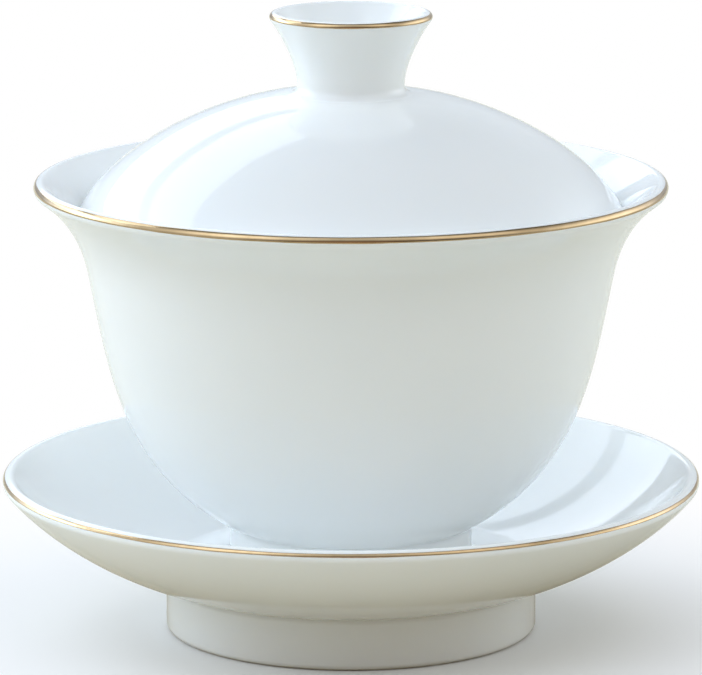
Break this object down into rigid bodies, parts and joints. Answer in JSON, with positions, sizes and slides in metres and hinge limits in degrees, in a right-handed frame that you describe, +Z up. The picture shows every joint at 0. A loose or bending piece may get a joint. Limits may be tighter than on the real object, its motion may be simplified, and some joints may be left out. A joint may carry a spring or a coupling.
{
  "type": "gaiwan",
  "caption": "Porcelain lidded tea bowl on a footed saucer, with a flared rim, a domed lid with a hollow ring knob, and thin gold lines on the rims.",
  "frame": {"origin": "centre of the saucer's foot ring, on the table", "axes": "+Z up along the common axis of the three pieces; they are turned shapes, so X and Y are arbitrary"},
  "size_m": [0.1108, 0.1108, 0.099],
  "materials": {
    "porcelain": "clear gloss glaze over white porcelain",
    "gilding": "bright gold line fired on over the glaze of each rim"
  },
  "bodies": {
    "saucer": {"saucer": "porcelain"},
    "bowl": {"bowl": "porcelain"},
    "lid": {"lid": "porcelain"}
  },
  "joints": [
    {"name": "bowl_lift", "type": "slide", "parent": "saucer", "child": "bowl", "axis": [0, 0, 1], "range_m": [0, 0.04]},
    {"name": "lid_lift", "type": "slide", "parent": "bowl", "child": "lid", "axis": [0, 0, 1], "range_m": [0, 0.04]}
  ]
}
